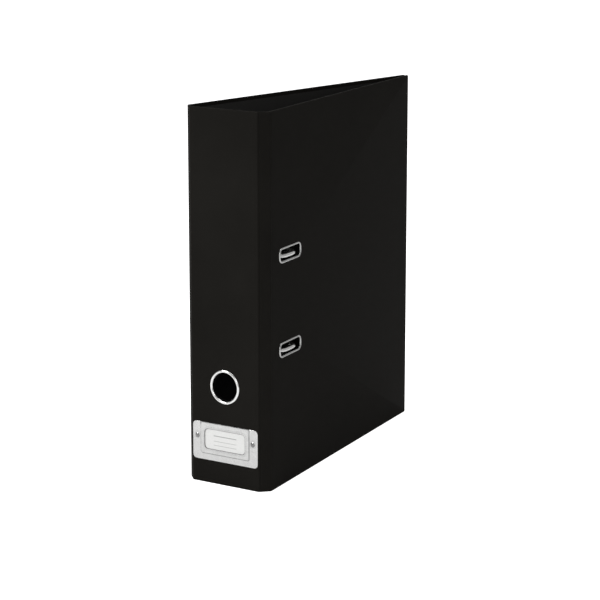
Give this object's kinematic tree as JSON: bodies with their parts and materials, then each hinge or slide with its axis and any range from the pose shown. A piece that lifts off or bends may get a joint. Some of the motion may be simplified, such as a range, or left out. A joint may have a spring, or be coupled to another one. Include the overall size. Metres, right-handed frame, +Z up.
{
  "type": "lever arch file",
  "caption": "Upright A4 file with a stiff folding case, a finger ring and label holder on the spine, and a lever arch mechanism riveted inside the back cover.",
  "frame": {"origin": "centre of the bounding box's bottom face, on the surface that the file stands on", "axes": "+Z up, +Y from the spine to the fore-edge, +X to the front cover with the slots"},
  "size_m": [0.0822, 0.2902, 0.318],
  "materials": {
    "board": "grey millboard core",
    "outer_paper": "black printed paper, satin lamination with a fine grain",
    "inner_paper": "matt black lining paper",
    "bright_metal": "bright nickel plate",
    "label_metal": "bright silver sheet",
    "plated_steel": "nickel-plated steel",
    "spring_steel": "drawn spring wire",
    "black_plastic": "fine spark-eroded black moulding",
    "white_plastic": "smooth natural acetal",
    "card": "white card"
  },
  "bodies": {
    "spine": {"spine_board": "board", "spine_wrap": "outer_paper", "spine_liner": "inner_paper", "finger_ring": "bright_metal", "finger_back_ring": "bright_metal", "label_holder": "label_metal", "label_rivets": "label_metal"},
    "front_strip": {"front_strip_board": "board", "front_strip_wrap": "outer_paper", "front_strip_liner": "inner_paper"},
    "front_cover": {"front_cover_board": "board", "front_cover_wrap": "outer_paper", "front_cover_liner": "inner_paper", "upper_slot_eyelet": "bright_metal", "lower_slot_eyelet": "bright_metal"},
    "back_strip": {"back_strip_board": "board", "back_strip_wrap": "outer_paper", "back_strip_liner": "inner_paper"},
    "back_cover": {"back_cover_board": "board", "back_cover_wrap": "outer_paper", "back_cover_liner": "inner_paper", "base_plate": "plated_steel", "mechanism_rivets": "bright_metal", "upper_post": "plated_steel", "lower_post": "plated_steel", "lever_pin": "plated_steel", "arch_spring": "spring_steel"},
    "arches": {"arch_wire": "plated_steel"},
    "lever": {"lever": "plated_steel", "lever_grip": "black_plastic", "roller_pin": "plated_steel"},
    "roller": {"roller": "white_plastic"},
    "compressor": {"compressor_bar": "black_plastic"},
    "upper_latch": {"upper_latch": "plated_steel"},
    "lower_latch": {"lower_latch": "plated_steel"},
    "label_card": {"label_card": "card"}
  },
  "joints": [
    {"name": "front_cover_fold", "type": "hinge", "parent": "front_strip", "child": "front_cover", "pos_m": [0.0412, -0.13625, 0], "axis": [0, 0, -1], "range_deg": [0, 53.31]},
    {"name": "front_strip_fold", "type": "hinge", "parent": "spine", "child": "front_strip", "pos_m": [0.0335, -0.14382, 0], "axis": [0, 0, -1], "range_deg": [0, 44.5]},
    {"name": "back_cover_fold", "type": "hinge", "parent": "back_strip", "child": "back_cover", "pos_m": [-0.0412, -0.13625, 0], "axis": [0, 0, 1], "range_deg": [0, 53.31]},
    {"name": "back_strip_fold", "type": "hinge", "parent": "spine", "child": "back_strip", "pos_m": [-0.0335, -0.14382, 0], "axis": [0, 0, 1], "range_deg": [0, 44.5]},
    {"name": "lever_lift", "type": "hinge", "parent": "back_cover", "child": "lever", "pos_m": [-0.0238, -0.0922, 0.1544], "axis": [0, 0, 1], "range_deg": [0, 72]},
    {"name": "arch_swing", "type": "hinge", "parent": "back_cover", "child": "arches", "pos_m": [-0.02882, -0.10666, 0.1544], "axis": [0, 0, -1], "range_deg": [0, 24]},
    {"name": "roller_spin", "type": "hinge", "parent": "lever", "child": "roller", "pos_m": [-0.02198, -0.098, 0.1544], "axis": [0, 0, 1], "continuous": true},
    {"name": "compressor_slide", "type": "slide", "parent": "back_cover", "child": "compressor", "axis": [0.9907, -0.1359, 0], "range_m": [0, 0.034]},
    {"name": "upper_latch_press", "type": "slide", "parent": "compressor", "child": "upper_latch", "axis": [0, 0, -1], "range_m": [0, 0.003], "stiffness_N_per_m": 150, "springref_m": -0.004},
    {"name": "lower_latch_press", "type": "slide", "parent": "compressor", "child": "lower_latch", "axis": [0, 0, 1], "range_m": [0, 0.003], "stiffness_N_per_m": 150, "springref_m": -0.004},
    {"name": "label_card_slide", "type": "slide", "parent": "spine", "child": "label_card", "axis": [0, 0, 1], "range_m": [0, 0.0182]}
  ],
  "couplings": [
    {"joint": "front_strip_fold", "follows": "front_cover_fold", "ratio": 0.83471},
    {"joint": "back_strip_fold", "follows": "back_cover_fold", "ratio": 0.83471},
    {"joint": "arch_swing", "follows": "lever_lift", "ratio": 0.33333}
  ]
}
